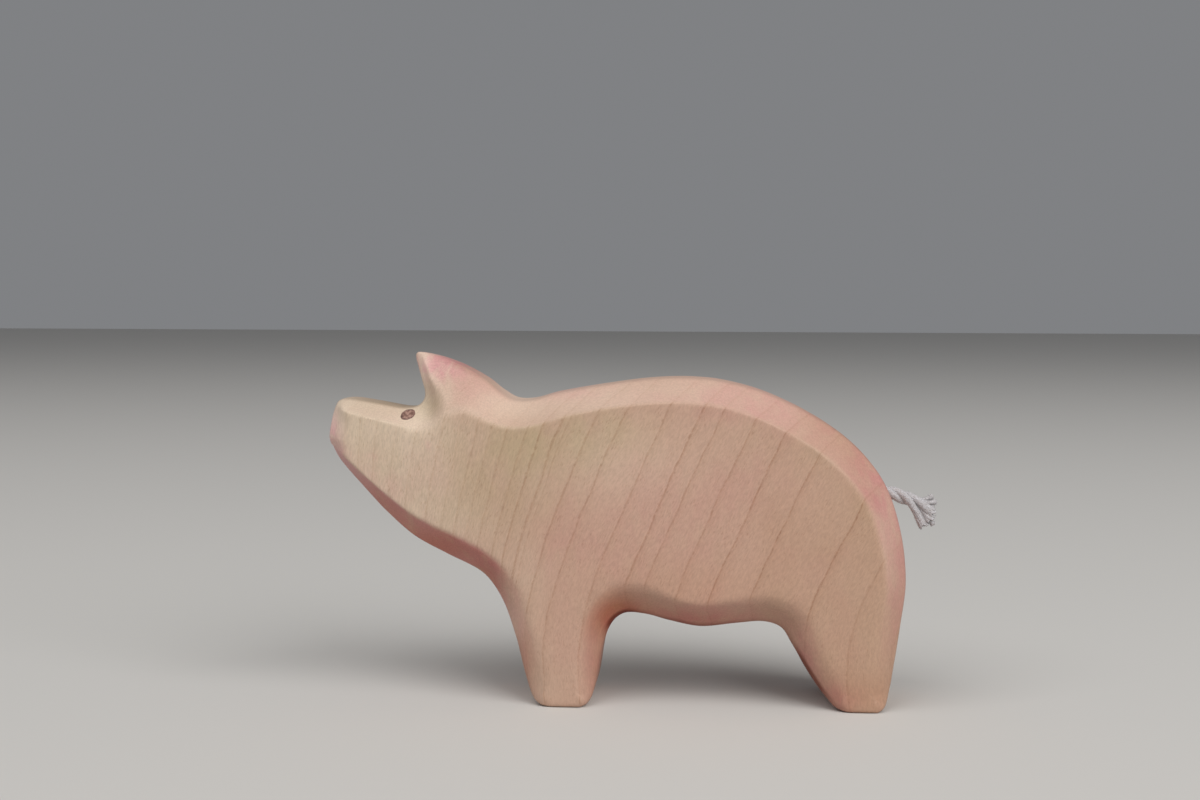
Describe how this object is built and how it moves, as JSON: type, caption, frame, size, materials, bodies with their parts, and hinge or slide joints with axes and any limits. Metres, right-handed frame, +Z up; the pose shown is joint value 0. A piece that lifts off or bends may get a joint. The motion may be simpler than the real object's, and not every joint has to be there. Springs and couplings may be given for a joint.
{
  "type": "carved wooden toy pig",
  "caption": "Small hand-carved wooden toy pig, head raised, with bevelled sanded edges, a painted eye on each side and a short frayed cotton cord tail.",
  "frame": {"origin": "centre of the bounding box at the soles of the feet", "axes": "+X from the snout towards the tail, +Y towards the pig's right side, +Z up"},
  "size_m": [0.1256, 0.026, 0.0718],
  "materials": {
    "wood": "pale close-grained maple, sanded and oiled, with a thin pink stain rubbed into the edges",
    "eye_paint": "thin brown paint, satin",
    "cotton": "undyed soft cotton cord, frayed at its cut end"
  },
  "bodies": {
    "root": {"body": "wood", "eye_left": "eye_paint", "eye_right": "eye_paint", "tail": "cotton"}
  },
  "joints": []
}
